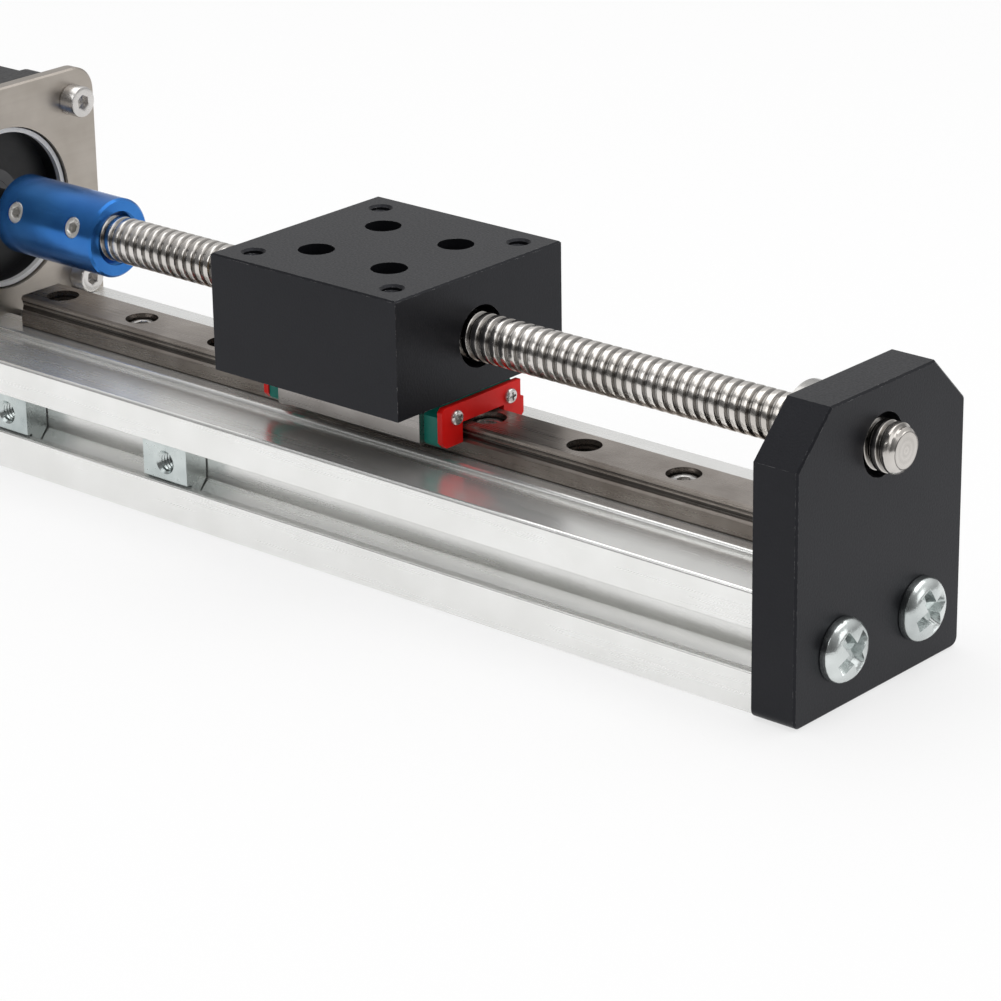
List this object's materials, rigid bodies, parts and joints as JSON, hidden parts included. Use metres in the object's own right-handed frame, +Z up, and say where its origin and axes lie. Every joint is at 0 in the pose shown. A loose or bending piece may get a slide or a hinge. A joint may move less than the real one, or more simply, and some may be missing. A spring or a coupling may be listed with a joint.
{
  "type": "linear slide table",
  "caption": "Motor-driven linear slide table: a black carriage plate runs on a rail along an aluminium profile, driven by a lead screw through a shaft coupling.",
  "frame": {"origin": "centre of the overall length and width, on the face the profile stands on", "axes": "+X along the travel, away from the motor; +Z up, out of the table's top; Y across"},
  "size_m": [0.3022, 0.055, 0.0765],
  "materials": {
    "bright_aluminium": "polished drawn profile",
    "ground_steel": "ground",
    "slider_steel": "ground",
    "black_oxide_screws": "black oxide",
    "bright_screws": "plain steel",
    "zinc": "bright zinc plating",
    "black_anodised": "satin black anodised",
    "blue_anodised": "blue anodised",
    "screw_steel": "rolled",
    "plate_steel": "nickel plated",
    "green_plastic": "moulded",
    "red_seal": "moulded",
    "bearing_steel": "polished",
    "nut_bronze": "turned",
    "motor_black": "satin",
    "stator_steel": "laminated",
    "connector_plastic": "moulded",
    "pin_brass": "plated"
  },
  "bodies": {
    "base": {"base_extrusion": "bright_aluminium", "linear_rail": "ground_steel", "rail_screws": "black_oxide_screws", "end_plate": "black_anodised", "end_plate_screws": "zinc", "end_bearing_outer_ring": "bearing_steel", "motor_plate": "plate_steel", "motor_plate_screws": "zinc", "motor_screws": "black_oxide_screws", "motor_front_cap": "motor_black", "motor_stator": "stator_steel", "motor_rear_cap": "motor_black", "motor_tie_screws": "black_oxide_screws", "motor_front_bearing_outer_ring": "bearing_steel", "motor_rear_bearing_outer_ring": "bearing_steel", "motor_connector": "connector_plastic", "connector_pins": "pin_brass"},
    "screw": {"lead_screw": "screw_steel", "end_bearing_inner_ring": "bearing_steel", "end_collar": "screw_steel", "collar_grub_screw": "bright_screws", "shaft_coupling": "blue_anodised", "coupling_grub_screws": "bright_screws", "motor_shaft": "screw_steel", "motor_rotor": "stator_steel", "motor_front_bearing_inner_ring": "bearing_steel", "motor_rear_bearing_inner_ring": "bearing_steel"},
    "carriage": {"carriage_table": "black_anodised", "table_screws": "black_oxide_screws", "slider_block": "slider_steel", "front_end_cap": "green_plastic", "rear_end_cap": "green_plastic", "front_end_seal": "red_seal", "rear_end_seal": "red_seal", "seal_screws": "bright_screws", "lead_nut": "nut_bronze", "lead_nut_screws": "black_oxide_screws"},
    "slot_nut_near_front": {"slot_nut_near_front": "zinc"},
    "slot_nut_near_rear": {"slot_nut_near_rear": "zinc"},
    "slot_nut_far_front": {"slot_nut_far_front": "zinc"},
    "slot_nut_far_rear": {"slot_nut_far_rear": "zinc"}
  },
  "joints": [
    {"name": "carriage_slide", "type": "slide", "parent": "base", "child": "carriage", "axis": [1, 0, 0], "range_m": [-0.046, 0.078]},
    {"name": "screw_turn", "type": "hinge", "parent": "base", "child": "screw", "pos_m": [0, 0, 0.049], "axis": [1, 0, 0], "range_deg": [-11233, 6625]},
    {"name": "slot_nut_near_front_slide", "type": "slide", "parent": "base", "child": "slot_nut_near_front", "axis": [1, 0, 0], "range_m": [-0.017, 0.149]},
    {"name": "slot_nut_near_rear_slide", "type": "slide", "parent": "base", "child": "slot_nut_near_rear", "axis": [1, 0, 0], "range_m": [-0.0155, 0.017]},
    {"name": "slot_nut_far_front_slide", "type": "slide", "parent": "base", "child": "slot_nut_far_front", "axis": [1, 0, 0], "range_m": [-0.017, 0.149]},
    {"name": "slot_nut_far_rear_slide", "type": "slide", "parent": "base", "child": "slot_nut_far_rear", "axis": [1, 0, 0], "range_m": [-0.0155, 0.017]}
  ],
  "couplings": [
    {"joint": "screw_turn", "follows": "carriage_slide", "rad_per_m": -2513.3}
  ]
}
